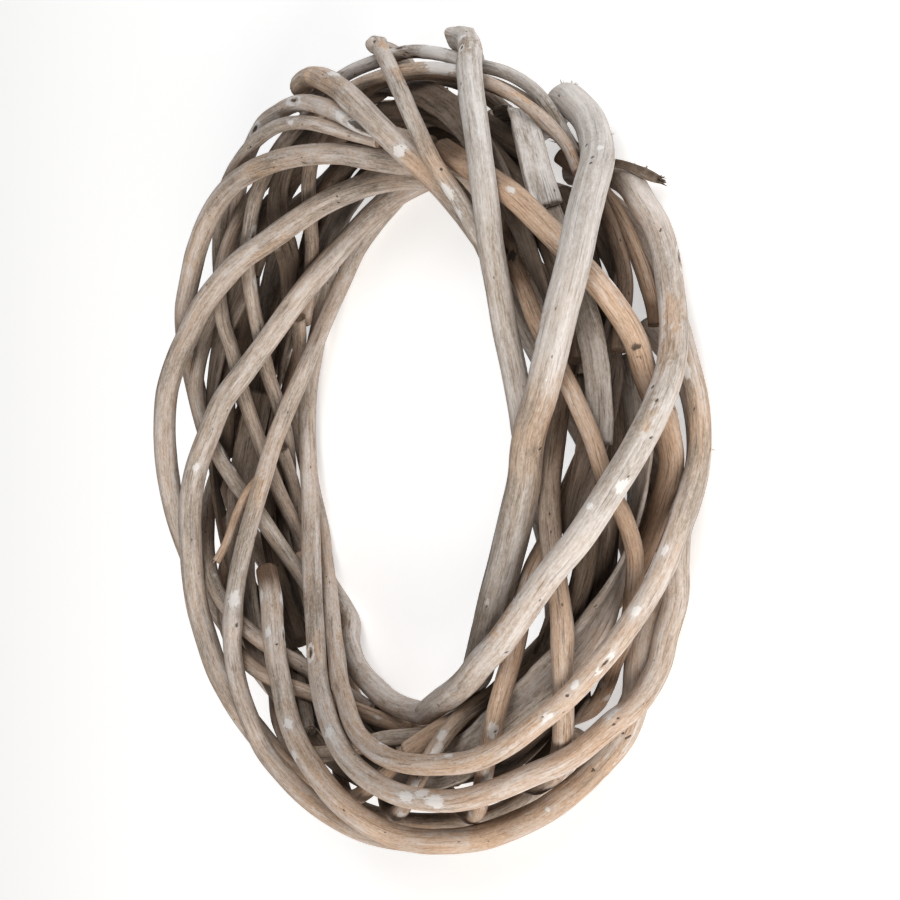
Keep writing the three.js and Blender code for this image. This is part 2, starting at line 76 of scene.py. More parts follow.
# The photograph's camera: how far it turns from the ring's axis, its pitch and its roll, in radians; the
# width of one pixel at the ring; its distance and side shifts in such pixels; the sensor's width in
# millimetres; and how near the view begins
PHOTO_SIDE = 900
CAMERA_TURN = 0.967
CAMERA_PITCH = 0.006
CAMERA_ROLL = 0.0117
PIXEL = 0.3715 * MM
CAMERA_DISTANCE = 1921.42 * PIXEL
CAMERA_SHIFT = np.array([-49.256, 4.164]) * PIXEL
SENSOR = 36.0
NEAREST_SEEN = 10 * MM


def camera_axes():
    """The camera's right and up directions in the picture, and the direction from the ring to it."""
    flat = np.array([math.sin(CAMERA_TURN), 0, math.cos(CAMERA_TURN)])
    rise = np.array([0, 1, 0])
    towards = math.cos(CAMERA_PITCH) * flat + math.sin(CAMERA_PITCH) * rise
    up = math.cos(CAMERA_PITCH) * rise - math.sin(CAMERA_PITCH) * flat
    right = np.array([math.cos(CAMERA_TURN), 0, -math.sin(CAMERA_TURN)])
    picture_right = math.cos(CAMERA_ROLL) * right - math.sin(CAMERA_ROLL) * up
    picture_up = math.sin(CAMERA_ROLL) * right + math.cos(CAMERA_ROLL) * up
    return picture_right, picture_up, towards


RIGHT, UP, TOWARDS = camera_axes()
CAMERA_PLACE = (RING_CENTRE + CAMERA_DISTANCE * TOWARDS
                - CAMERA_SHIFT[0] * RIGHT - CAMERA_SHIFT[1] * UP)


def photo_place(points):
    """The photograph's pixel where each point shows."""
    offset = points - CAMERA_PLACE
    depth = -offset @ TOWARDS
    scale = CAMERA_DISTANCE / PIXEL / depth
    x = PHOTO_SIDE / 2 + offset @ RIGHT * scale
    y = PHOTO_SIDE / 2 - offset @ UP * scale
    return np.stack([x, y], axis=-1)


def add_camera():
    """The camera that took the photograph."""
    data = bpy.data.cameras.new("photo_camera")
    data.sensor_width = SENSOR
    data.lens = SENSOR * CAMERA_DISTANCE / (PHOTO_SIDE * PIXEL)
    data.clip_start = NEAREST_SEEN
    camera = bpy.data.objects.new("photo_camera", data)
    axes = Matrix([RIGHT, UP, TOWARDS]).transposed().to_4x4()
    camera.matrix_world = Matrix.Translation(Vector(CAMERA_PLACE)) @ axes
    bpy.context.scene.collection.objects.link(camera)
    bpy.context.scene.camera = camera


add_camera()

# Middle lines of the CAD solids: how near two corners are to be one, and the sharpest bend within a lid
WELD = 0.003 * MM
LID_ANGLE = math.radians(30)


def flat_groups(mesh):
    """Groups of faces that join at shallow angles."""
    left = dict.fromkeys(mesh.faces)
    while left:
        group = [left.popitem()[0]]
        for face in group:
            for edge in face.edges:
                for other in edge.link_faces:
                    if other in left and edge.calc_face_angle(math.pi) < LID_ANGLE:
                        del left[other]
                        group.append(other)
        yield group


def rings_from(lid):
    """The solid's sections, one after another, from the corners of one lid."""
    rings = [set(lid)]
    seen = set(lid)
    while True:
        ring = {edge.other_vert(v) for v in rings[-1] for edge in v.link_edges} - seen
        if not ring:
            return rings
        rings.append(ring)
        seen |= ring


def sections_of(name, sides):
    """Each section's corners, from one end of a swept solid to the other."""
    mesh = bmesh.new()
    mesh.from_mesh(frame["nodes"][name].data)
    bmesh.ops.remove_doubles(mesh, verts=mesh.verts, dist=WELD)
    mesh.normal_update()
    for group in flat_groups(mesh):
        lid = {v for face in group for v in face.verts}
        if len(group) == sides - 2 and len(lid) == sides:
            rings = rings_from(lid)
            if all(len(ring) == sides for ring in rings):
                corners = np.array([sorted(tuple(v.co) for v in ring) for ring in rings])
                mesh.free()
                return run_clockwise(corners)
    raise ValueError(f"no end was found on {name}")


def angle_round_ring(points):
    """Angles round the ring, clockwise from its top."""
    return np.arctan2(points[..., 0] - RING_CENTRE[0], points[..., 1] - RING_CENTRE[1])


def run_clockwise(corners):
    """Sections in the order that runs clockwise round the ring, seen from the front."""
    turn = np.unwrap(angle_round_ring(corners.mean(axis=1)))
    return corners if turn[-1] > turn[0] else corners[::-1]


def bundle_place(points):
    """Places across and up the bundle from its middle, as shares of its half sizes."""
    across = np.hypot(points[..., 0] - RING_CENTRE[0], points[..., 1] - RING_CENTRE[1]) - RING_RADIUS
    high = points[..., 2] - RING_CENTRE[2]
    return across / BUNDLE_HALF_WIDTH, high / BUNDLE_HALF_HEIGHT


def outward_from(points):
    """Unit directions away from the middle of the bundle."""
    around = angle_round_ring(points)
    across, high = bundle_place(points)
    wrap = np.arctan2(high, across)
    return np.stack([np.cos(wrap) * np.sin(around), np.cos(wrap) * np.cos(around), np.sin(wrap)],
                    axis=-1)


def unit(vectors):
    return vectors / np.linalg.norm(vectors, axis=-1, keepdims=True)


# Even parts of each span that a smooth curve is sampled at
CURVE_PARTS = 12


def curve_through(places, values, step):
    """Even steps along a smooth curve through the places, with the values carried along it."""
    spans = np.linalg.norm(np.diff(places, axis=0), axis=1)
    slopes = np.diff(places, axis=0) / spans[:, None]
    tangents = np.empty_like(places)
    tangents[0] = slopes[0]
    tangents[-1] = slopes[-1]
    before = spans[:-1, None]
    after = spans[1:, None]
    tangents[1:-1] = (slopes[1:] * before + slopes[:-1] * after) / (before + after)
    fine = []
    carried = []
    for i, span in enumerate(spans):
        t = np.arange(CURVE_PARTS)[:, None] / CURVE_PARTS
        fine.append((2 * t**3 - 3 * t**2 + 1) * places[i] + (t**3 - 2 * t**2 + t) * span * tangents[i]
                    + (3 * t**2 - 2 * t**3) * places[i + 1] + (t**3 - t**2) * span * tangents[i + 1])
        carried.append(values[i] + (values[i + 1] - values[i]) * t)
    fine = np.concatenate(fine + [places[-1:]])
    carried = np.concatenate(carried + [values[-1:]])
    along = np.concatenate([[0], np.cumsum(np.linalg.norm(np.diff(fine, axis=0), axis=1))])
    count = max(3, round(along[-1] / step) + 1)
    stops = np.linspace(0, along[-1], count)
    places = np.stack([np.interp(stops, along, fine[:, k]) for k in range(3)], axis=-1)
    values = np.stack([np.interp(stops, along, carried[:, k]) for k in range(carried.shape[1])], axis=-1)
    return places, values, stops


def steady_frames(places, first):
    """Tangents, and two directions across them that turn no more than the curve does."""
    tangents = unit(np.gradient(places, axis=0))
    normals = np.empty_like(places)
    normal = first
    for i, tangent in enumerate(tangents):
        normal = normal - tangent * (normal @ tangent)
        normal = normal / np.linalg.norm(normal)
        normals[i] = normal
    return tangents, normals, np.cross(tangents, normals)


def seeded(name):
    """Chance that is the same in every run, from a piece's name."""
    return np.random.default_rng(zlib.crc32(name.encode()))


def ease(t):
    """A smooth rise from 0 to 1."""
    return t * t * (3 - 2 * t)


def slow_noise(rng, along, wave):
    """Smooth noise between -1 and 1 along a piece."""
    steps = along / wave
    values = rng.uniform(-1, 1, int(steps[-1]) + 3)
    low = steps.astype(int)
    share = ease(steps - low)
    return values[low] * (1 - share) + values[low + 1] * share


def streaks(rng, along, columns, wave):
    """Noise that differs from column to column and changes slowly along the piece."""
    steps = along / wave
    values = rng.normal(0, 0.5, (int(steps[-1]) + 3, columns))
    low = steps.astype(int)
    share = ease(steps - low)[:, None]
    return np.clip(values[low] * (1 - share) + values[low + 1] * share, -1, 1)


# Marks seen in the photograph, piece by piece: pixel across, pixel down, kind, and radius in millimetres
PHOTO_MARKS = {
    "thick_rod_g": [(590, 162, "pinhole", 0.7), (591, 157, "pinhole", 0.7), (586, 145, "pinhole", 0.7),
                    (563, 92, "swelling", 4.5), (564, 84, "burr", 1.3), (576, 86, "burr", 1.0),
                    (610, 135, "burr", 1.2), (613, 158, "burr", 1.0), (571, 84, "burr", 0.9),
                    (560, 95, "scar", 1.6), (533, 440, "scar", 1.2), (541, 448, "ringed_hole", 1.2),
                    (520, 455, "tan_patch", 3.0)],
    "thick_rod_h": [(461, 38, "white_knot", 2.2), (450, 32, "lobe", 2.4), (472, 36, "lobe", 2.8),
                    (462, 44, "tan_patch", 3.5), (456, 33, "scar", 1.5), (466, 31, "scar", 1.1),
                    (462, 48, "crack", 1.4)],
    "thick_rod_i": [(370, 44, "lobe", 2.6), (382, 42, "lobe", 2.0), (374, 42, "scar", 1.5),
                    (382, 44, "tan_patch", 2.0), (449, 192, "white_patch", 2.6),
                    (441, 169, "pinhole", 0.7)],
    "thick_rod_j": [(322, 73, "scar", 1.4), (308, 76, "lobe", 2.6), (312, 84, "tan_patch", 5.0),
                    (335, 73, "white_patch", 2.6), (400, 150, "white_knot", 3.0),
                    (414, 164, "tan_patch", 2.4), (420, 170, "tan_patch", 2.4), (404, 128, "scar", 1.2)],
    "thick_rod_e": [(711, 447, "burr", 1.2), (693, 405, "scar", 1.6), (541, 718, "ringed_hole", 1.4),
                    (566, 695, "pinhole", 0.7), (576, 684, "white_patch", 1.2),
                    (545, 717, "white_patch", 1.8), (665, 552, "white_patch", 1.4),
                    (634, 612, "white_patch", 1.5), (684, 361, "cut_knot", 2.4),
                    (687, 372, "white_patch", 2.0)],
    "thin_rod_b": [(512, 255, "scar", 3.0), (512, 245, "cut_knot", 2.2), (513, 265, "cut_knot", 2.2)],
    "thin_rod_a": [(503, 183, "tan_patch", 3.0), (511, 190, "white_patch", 1.6),
                   (640, 357, "cut_knot", 2.2), (635, 347, "scar", 2.5)],
    "thick_rod_a": [(330, 207, "scar", 1.2), (323, 211, "scar", 1.0), (338, 203, "scar", 1.1),
                    (282, 258, "tan_patch", 4.0), (263, 464, "ringed_hole", 1.5)],
    "thick_rod_m": [(303, 162, "scar", 1.6), (299, 163, "scar", 1.3), (262, 170, "tan_patch", 4.0),
                    (220, 402, "tan_patch", 2.0)],
    "thick_rod_n": [(446, 589, "white_patch", 2.4), (231, 600, "white_patch", 2.6),
                    (623, 734, "pinhole", 0.7), (629, 735, "pinhole", 0.7), (627, 738, "pinhole", 0.7),
                    (593, 768, "scar", 1.2), (548, 808, "white_knot", 1.4), (283, 636, "crack", 2.2),
                    (268, 632, "white_patch", 1.6), (288, 725, "white_patch", 2.4),
                    (276, 644, "scar", 1.3), (294, 756, "white_patch", 1.8), (612, 790, "scar", 1.2),
                    (487, 838, "tan_patch", 3.0)],
    "thick_rod_k": [(310, 112, "pinhole", 0.7), (314, 112, "pinhole", 0.7), (356, 126, "crack", 5.0),
                    (368, 130, "crack", 4.0)],
    "thick_rod_d": [(609, 714, "white_knot", 3.2), (619, 717, "pinhole", 0.7),
                    (613, 725, "pinhole", 0.7), (328, 733, "white_patch", 2.4),
                    (435, 802, "white_patch", 3.0), (405, 796, "white_patch", 2.4)],
    "broken_twig": [(640, 174, "swelling", 2.4), (652, 178, "swelling", 2.0), (646, 170, "burr", 1.2),
                    (634, 166, "burr", 1.0)],
    "thin_rod_d": [(492, 731, "white_patch", 2.4), (485, 780, "white_patch", 2.6),
                   (466, 812, "white_patch", 1.6)],
    "thin_rod_e": [(436, 752, "white_patch", 2.4), (443, 734, "white_patch", 1.6),
                   (402, 815, "white_patch", 2.2), (414, 787, "white_patch", 2.2)],
    "thick_rod_f": [(507, 652, "ringed_hole", 1.8), (653, 387, "pinhole", 0.7),
                    (656, 401, "pinhole", 0.7), (651, 437, "ringed_hole", 1.5),
                    (622, 487, "white_patch", 2.0), (628, 476, "pinhole", 0.7),
                    (675, 312, "tan_patch", 3.0), (668, 352, "tan_patch", 2.5),
                    (646, 420, "tan_patch", 2.5)],
    "core_splint_c": [(611, 421, "pinhole", 0.7), (595, 608, "pinhole", 0.7)],
    "thick_rod_c": [(234, 602, "white_patch", 2.8), (235, 626, "swelling", 3.0),
                    (235, 626, "scar", 1.3)],
    "edge_cane_a": [(430, 52, "white_patch", 5.0), (406, 52, "scar", 2.2), (417, 58, "crack", 2.2),
                    (398, 48, "crack", 2.0)],
    "edge_cane_b": [(440, 66, "white_patch", 5.0), (405, 66, "tan_patch", 3.0)],
}

# How far from its middle a mark is felt, in radii
MARK_REACH = 2.6


def bell(distance, width=1.0):
    """A share that fades with the distance from a mark's middle."""
    return np.exp(-(distance / width) ** 2)


def band(distance, middle, width):
    """A share that is highest on a ring round a mark's middle."""
    return np.exp(-((distance - middle) / width) ** 2)


def patch(distance, ragged):
    """A full share out to an uneven edge."""
    return np.clip(1.6 - 1.4 * distance + 0.9 * ragged, 0, 1)


# How far each kind of mark is stretched along the grain, and how it rises in millimetres, darkens,
# whitens and bares the wood. d is the distance from its middle in radii, n is chance from -1 to 1.
MARKS = {
    "pinhole": dict(stretch=1.3, rise=lambda d, n: -0.35 * bell(d), dark=lambda d, n: bell(d)),
    "ringed_hole": dict(stretch=1.2, rise=lambda d, n: 0.25 * bell(d, 1.3) - 0.6 * bell(d, 0.4),
                        dark=lambda d, n: bell(d, 0.45) + 0.35 * band(d, 1.0, 0.25),
                        white=lambda d, n: 0.5 * band(d, 0.65, 0.2)),
    "cut_knot": dict(stretch=1.1, rise=lambda d, n: 0.5 * bell(d, 1.1) - 0.25 * bell(d, 0.4),
                     dark=lambda d, n: 0.42 * band(d, 1.0, 0.22) + 0.3 * bell(d, 0.25),
                     bare=lambda d, n: bell(d, 0.8)),
    "white_knot": dict(stretch=1.1, rise=lambda d, n: 0.5 * bell(d, 1.1) - 0.25 * bell(d, 0.4),
                       dark=lambda d, n: 0.5 * band(d, 0.55, 0.2) + 0.35 * band(d, 1.15, 0.2),
                       white=lambda d, n: bell(d, 0.9)),
    "swelling": dict(stretch=1.4, rise=lambda d, n: 0.9 * bell(d, 1.2)),
    "lobe": dict(stretch=1.0, rise=lambda d, n: 2.0 * bell(d, 0.9),
                 dark=lambda d, n: 0.5 * band(d, 1.15, 0.2)),
    "burr": dict(stretch=1.0, rise=lambda d, n: 0.3 * bell(d), dark=lambda d, n: 0.4 * bell(d)),
    "white_patch": dict(stretch=1.8, rise=lambda d, n: 0.05 * patch(d, n),
                        white=lambda d, n: 0.85 * bell(d, 1.1)),
    "tan_patch": dict(stretch=2.4, rise=lambda d, n: -0.05 * patch(d, n), bare=patch),
    "scar": dict(stretch=1.6, rise=lambda d, n: -0.3 * bell(d, 0.8) + 0.35 * band(d, 1.1, 0.35) * n,
                 dark=lambda d, n: np.clip(0.65 * bell(d, 0.9) + 0.5 * n * bell(d, 1.1), 0, 1)),
    "crack": dict(stretch=3.4, rise=lambda d, n: -0.55 * bell(d * 3.0) + 0.2 * band(d, 0.5, 0.2),
                  dark=lambda d, n: bell(d * 2.6), white=lambda d, n: 0.8 * band(d, 0.6, 0.22)),
}

# Chance marks, on every side of a rod: kind, how many for each 100 mm, and the smallest and largest
# radius in millimetres
CHANCE_LENGTH = 100 * MM
CHANCE_MARKS = [
    ("pinhole", 0.5, 0.4, 0.6), ("cut_knot", 0.12, 1.3, 2.2), ("white_knot", 0.12, 1.2, 2.0),
    ("white_patch", 0.5, 0.8, 2.4), ("tan_patch", 0.9, 1.5, 4.0), ("scar", 0.3, 0.9, 1.8),
    ("crack", 0.3, 1.5, 3.0), ("swelling", 0.3, 2.5, 4.5),
]
# How squarely a place must face the photograph's camera to carry one of its marks
LEAST_FACING = 0.15


def mark_seeds(name, surface, normals, along, rng, plenty):
    """Where marks lie on a piece: row, column, kind and radius."""
    seeds = []
    shown = photo_place(surface)
    facing = np.einsum("ijk,ijk->ij", normals, unit(CAMERA_PLACE - surface)) > LEAST_FACING
    for across, down, kind, radius in PHOTO_MARKS.get(name, []):
        miss = np.hypot(shown[..., 0] - across, shown[..., 1] - down)
        miss = np.where(facing, miss, np.inf)
        seeds.append((*np.unravel_index(np.argmin(miss), miss.shape), kind, radius))
    rows, columns = surface.shape[:2]
    for kind, often, smallest, largest in CHANCE_MARKS:
        for _ in range(rng.poisson(often * plenty * along[-1] / CHANCE_LENGTH)):
            seeds.append((rng.integers(2, rows - 2), rng.integers(columns), kind,
                          rng.uniform(smallest, largest)))
    return seeds


# How the whitewash, the warmth and the painted shade (on the broken twig, its dark dirt) change over
# long stretches, piece by piece: pixel across, pixel down, the three changes, and radius in millimetres
TONES = {
    "thick_rod_g": [(590, 110, 0.35, -0.25, 0, 24), (575, 230, 0.25, -0.20, 0, 24),
                    (535, 420, -0.35, 0.15, 0.1, 20), (525, 480, -0.25, 0.08, 0.1, 18),
                    (548, 340, 0.25, -0.10, 0, 12), (505, 560, 0.00, -0.45, 0.45, 26),
                    (480, 630, -0.20, -0.20, 0.45, 16)],
    "thick_rod_h": [(470, 120, 0.15, -0.20, 0, 30), (500, 330, -0.10, 0.00, 0, 24)],
    "thick_rod_i": [(435, 165, -0.35, 0.30, 0, 14)],
    "thick_rod_j": [(425, 175, -0.30, 0.30, 0, 10), (312, 84, -0.40, 0.10, 0.3, 9)],
    "thick_rod_f": [(650, 420, 0.20, 0.00, 0, 16), (600, 520, 0.25, 0.05, 0, 18),
                    (420, 720, 0.00, 0.20, 0, 26)],
    "thick_rod_e": [(700, 440, -0.40, -0.15, 0.22, 22), (672, 480, 0.10, -0.10, 0, 12),
                    (450, 765, -0.10, 0.50, 0, 50), (560, 700, -0.05, 0.20, 0, 30)],
    "thick_rod_c": [(300, 440, -0.15, 0.10, 0, 16), (400, 840, -0.10, 0.50, 0, 60)],
    "thick_rod_n": [(268, 566, -0.10, 0.00, 1.0, 9), (480, 840, -0.12, 0.55, 0, 55),
                    (330, 800, -0.05, 0.20, 0, 30)],
    "thick_rod_d": [(480, 800, -0.10, 0.50, 0, 55), (600, 740, -0.10, 0.30, 0, 30)],
    "thick_rod_b": [(300, 790, -0.10, 0.30, 0, 40)],
    "thin_rod_a": [(447, 148, -0.10, -0.50, 0.7, 7), (501, 180, 0.05, -0.30, 0.3, 4),
                   (600, 290, 0.12, 0.00, -0.2, 30)],
    "thin_rod_b": [(513, 258, 0.00, -0.40, 0.8, 9), (535, 330, -0.15, 0.10, 0, 14)],
    "slim_cane_a": [(650, 318, -0.20, -0.40, 0.8, 5), (562, 162, -0.20, -0.40, 0.9, 8)],
    "edge_cane_a": [(410, 50, -0.30, 0.20, 0.3, 8)],
    "broken_twig": [(617, 160, -0.3, 0, 0.6, 2.0), (628, 164, -0.3, 0, 0.6, 2.0),
                    (640, 168, -0.3, 0, 0.6, 2.0), (651, 173, -0.3, 0, 0.6, 2.0),
                    (661, 180, -0.3, 0, 0.5, 2.0)],
}


def tones(name, surface):
    """The changes of wash, warmth and painted shade (dirt on the twig) at each place of a piece."""
    change = np.zeros((*surface.shape[:2], 3))
    shown = photo_place(surface)
    for across, down, *changes, radius in TONES.get(name, []):
        miss = np.hypot(shown[..., 0] - across, shown[..., 1] - down)
        change += bell(miss * PIXEL / (radius * MM))[..., None] * np.array(changes)
    return change


# The radius, in millimetres, from which a mark has its full height
FULL_MARK = 2.2


def lay_marks(seeds, along, round_places, girth, rng):
    """The rise, in metres, and the dark, white and bare shares over a piece's grid."""
    shape = round_places.shape
    rise = np.zeros(shape)
    shares = {"dark": np.zeros(shape), "white": np.zeros(shape), "bare": np.zeros(shape)}
    ragged = rng.uniform(-1, 1, shape)
    for row, column, kind, radius in seeds:
        look = MARKS[kind]
        reach = MARK_REACH * radius * MM * look["stretch"]
        rows = np.abs(along - along[row]) < reach
        lengthwise = (along[rows] - along[row])[:, None] / look["stretch"]
        sideways = round_places[rows] - round_places[row, column]
        sideways = (sideways + girth / 2) % girth - girth / 2   # the short way round
        distance = np.hypot(lengthwise, sideways) / (radius * MM)
        chance = ragged[rows]
        size = min(1.0, radius / FULL_MARK)
        rise[rows] += look["rise"](distance, chance) * MM * size
        for share, field in shares.items():
            if share in look:
                field[rows] = np.maximum(field[rows], np.clip(look[share](distance, chance), 0, 1))
    return rise, shares


# Meshes: the sizes of a lid's rings against the end that it closes, and how far inside the CAD box the
# pieces keep
LID_SHARES = (0.93, 0.62, 0.3)
BOX_MARGIN = 0.01 * MM


def grid_faces(rows, columns):
    """The quads of a grid that closes on itself round the piece."""
    i, j = np.meshgrid(np.arange(rows - 1), np.arange(columns), indexing="ij")
    after = (j + 1) % columns
    quads = np.stack([i * columns + j, i * columns + after, (i + 1) * columns + after,
                      (i + 1) * columns + j], axis=-1)
    return quads.reshape(-1, 4)


def fan(centre, first, columns, outward):
    """The triangles between a lid's middle and its innermost ring."""
    j = np.arange(columns)
    after = (j + 1) % columns
    sides = (first + j, first + after) if outward else (first + after, first + j)
    return np.stack([np.full(columns, centre), sides[0], sides[1]], axis=-1)


def rough_lid(ring, centre, outward, rng, roughness):
    """The rings of points that close an end, from its rim inwards."""
    rough = rng.uniform(-roughness, 0, (len(LID_SHARES), len(ring)))
    return np.array([centre + (ring - centre) * share + outward * sink[:, None]
                     for share, sink in zip(LID_SHARES, rough)])


def closed_grid(surface, centres, tangents, rng, roughness):
    """A grid of points with a rough lid added at each end."""
    first = rough_lid(surface[0], centres[0], -tangents[0], rng, roughness)
    last = rough_lid(surface[-1], centres[-1], tangents[-1], rng, roughness)
    return np.concatenate([first[::-1], surface, last])


def clip_to_box(points):
    """Points kept inside the CAD box.

    Its bottom has no margin, so that the wreath rests on the floor.
    """
    low, high = (np.array(corner) for corner in cad_box)
    return np.clip(points, low + BOX_MARGIN * np.array([1, 1, 0]), high - BOX_MARGIN)


def add_piece(name, slot, grid, centres, fields, fibres):
    """One closed mesh from a grid of points whose columns run round the piece."""
    rows, columns = grid.shape[:2]
    points = np.concatenate([grid.reshape(-1, 3), centres])
    ends = rows * columns
    faces = grid_faces(rows, columns).tolist()
    faces += fan(ends, 0, columns, False).tolist()
    faces += fan(ends + 1, ends - columns, columns, True).tolist()
    data_of = {key: np.concatenate([value.reshape(-1, value.shape[-1]), lid])
               for key, (value, lid) in fields.items()}
    for fibre_points, fibre_faces, (row, column) in fibres:
        offset = len(points)
        root = (row + len(LID_SHARES)) * columns + column
        points = np.concatenate([points, fibre_points])
        faces += [[offset + corner for corner in face] for face in fibre_faces]
        for key, data in data_of.items():
            data_of[key] = np.concatenate([data, np.repeat(data[root:root + 1], len(fibre_points), 0)])
    points = clip_to_box(points)
    mesh = bpy.data.meshes.new(name)
    mesh.from_pydata(points.tolist(), [], faces)
    mesh.shade_smooth()
    for key, data in data_of.items():
        attribute = mesh.attributes.new(key, "FLOAT_VECTOR", "POINT")
        attribute.data.foreach_set("vector", data.astype(np.float32).ravel())
    mesh.materials.append(materials[slot])
    mesh.update()
    piece = bpy.data.objects.new(f"{name}_weathered", mesh)
    bpy.context.scene.collection.objects.link(piece)
    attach(piece, "root")
    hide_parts(name)


# Fibres: how far along one its middle lies, how thick it is there against its foot, how far it bends
# as a share of its length, and how much further the tip goes
FIBRE_MIDDLE = 0.55
FIBRE_TAPER = 0.6
FIBRE_BEND = 0.12
TIP_BEND = 2.2


def spike(base, direction, length, thickness, rng):
    """A thin bent fibre whose foot stands in the wood: its points and faces."""
    side = unit(np.cross(direction, rng.normal(size=3)))
    other = np.cross(direction, side)
    corners = [side, other, -side, -other]
    bend = rng.normal(0, FIBRE_BEND, 3) * length
    halfway = base + direction * length * FIBRE_MIDDLE + bend
    foot = [base - direction * thickness + corner * thickness for corner in corners]
    middle = [halfway + corner * thickness * FIBRE_TAPER for corner in corners]
    tip = base + direction * length + TIP_BEND * bend
    faces = [(3, 2, 1, 0)]
    for k in range(4):
        after = (k + 1) % 4
        faces += [(k, after, 4 + after, 4 + k), (4 + k, 4 + after, 8)]
    return np.array(foot + middle + [tip]), faces


# Fibres on a burr: how many, how thick, how far they lean, and their places and lengths in its radii
BURR_FIBRES = 3
BURR_THICKNESS = 0.22 * MM
BURR_LEAN = 0.45
BURR_PLACE = 0.25
BURR_LENGTHS = (0.7, 1.3)
# Fibres at a torn end: how thick in millimetres, how far they lean, where they stand from its middle
# to its rim, and how long they are against the longest
END_THICKNESS = (0.25, 0.5)
END_LEAN = 0.13
END_PLACES = (0.3, 0.9)
END_LENGTHS = (0.25, 1.0)
# Pieces with torn ends: how many fibres stand out of each end, and how long the longest is in
# millimetres
TORN_ENDS = {
    "broken_twig": (16, 4.2), "cut_stub": (5, 1.0), "slim_cane_c": (6, 1.2), "slim_cane_b": (5, 1.2),
    "thin_rod_a": (8, 1.6),
}


def burr_fibres(seeds, surface, normals, rng):
    """Short fibres that stand up on each burr."""
    fibres = []
    for row, column, kind, radius in seeds:
        if kind == "burr":
            for _ in range(BURR_FIBRES):
                direction = unit(normals[row, column] + rng.normal(0, BURR_LEAN, 3))
                base = surface[row, column] + rng.normal(0, BURR_PLACE, 3) * radius * MM
                length = radius * rng.uniform(*BURR_LENGTHS) * MM
                fibres.append((*spike(base, direction, length, BURR_THICKNESS, rng), (row, column)))
    return fibres


def end_fibres(name, surface, centres, tangents, rng):
    """Torn fibres at both ends of a rod."""
    count, longest = TORN_ENDS.get(name, (0, 0))
    fibres = []
    for row, outward in ((0, -tangents[0]), (-1, tangents[-1])):
        for _ in range(count):
            column = rng.integers(surface.shape[1])
            base = centres[row] + (surface[row, column] - centres[row]) * rng.uniform(*END_PLACES)
            direction = unit(outward + rng.normal(0, END_LEAN, 3))
            length = longest * rng.uniform(*END_LENGTHS) * MM
            thickness = rng.uniform(*END_THICKNESS) * MM
            root = (row % len(surface), column)
            fibres.append((*spike(base, direction, length, thickness, rng), root))
    return fibres


def repeat_ends(field, count):
    """A field over the surface, carried on over the lids' rows."""
    return np.concatenate([np.repeat(field[:1], count, 0), field, np.repeat(field[-1:], count, 0)])


def with_ends(field):
    """A field and its value at the middle of each lid."""
    return field, np.stack([field[0].mean(axis=0), field[-1].mean(axis=0)])


# How each piece looks: how much whitewash is left on it, and how warm its wood is, from 0 to 1
LOOKS = {
    "thick_rod_a": (0.43, 0.48), "thick_rod_b": (0.45, 0.45), "thick_rod_c": (0.45, 0.40),
    "thick_rod_d": (0.50, 0.45), "thick_rod_e": (0.45, 0.50), "thick_rod_f": (0.60, 0.50),
    "thick_rod_g": (0.65, 0.45), "thick_rod_h": (0.65, 0.35), "thick_rod_i": (0.50, 0.45),
    "thick_rod_j": (0.50, 0.50), "thick_rod_k": (0.45, 0.50), "thick_rod_l": (0.45, 0.50),
    "thick_rod_m": (0.43, 0.52), "thick_rod_n": (0.45, 0.55),
    "thin_rod_a": (0.10, 0.95), "thin_rod_b": (0.25, 0.85), "thin_rod_c": (0.35, 0.60),
    "thin_rod_d": (0.25, 0.80), "thin_rod_e": (0.35, 0.60), "thin_rod_f": (0.30, 0.75),
    "thin_rod_g": (0.35, 0.45), "thin_rod_h": (0.30, 0.60), "thin_rod_i": (0.40, 0.35),
    "thin_rod_j": (0.40, 0.30), "thin_rod_k": (0.35, 0.40), "thin_rod_l": (0.40, 0.35),
    "thin_rod_m": (0.35, 0.45), "edge_cane_a": (0.75, 0.10), "edge_cane_b": (0.45, 0.55),
    "slim_cane_a": (0.20, 0.90), "slim_cane_b": (0.35, 0.40), "slim_cane_c": (0.15, 0.80),
    "cut_stub": (0.50, 0.20), "broken_twig": (0.05, 0.0), "core_splint_a": (0.55, 0.25),
    "core_splint_b": (0.50, 0.25), "core_splint_c": (0.55, 0.30), "core_splint_l": (0.75, 0.10),
    "core_splint_m": (0.50, 0.20), "core_splint_n": (0.50, 0.20),
}
# The look of the other pieces, by slot
PLAIN_LOOK = {"whitewashed_rod": (0.50, 0.45), "tan_rod": (0.30, 0.75), "grey_rod": (0.40, 0.40),
              "core_cane": (0.45, 0.20)}
# Pieces darker or lighter than their place in the ring would make them: the twig darker with its own
# dirt, the others with more or less painted shade
DIRT_AND_SHADE = {"broken_twig": 0.45, "slim_cane_b": 0.3, "core_splint_a": -0.35, "core_splint_b": -0.1,
        "core_splint_c": -0.40, "core_splint_d": -0.15, "core_splint_l": -0.45}

# Painted shade inside the bundle, where the rods shade each other: where the darkening starts and over
# what span it grows, as shares of the bundle's half sizes
SHADE_START = 0.92
SHADE_SPAN = 0.55
# The grain of each piece is cut from its own place in a block of this half size, in millimetres
GRAIN_BLOCK = 500


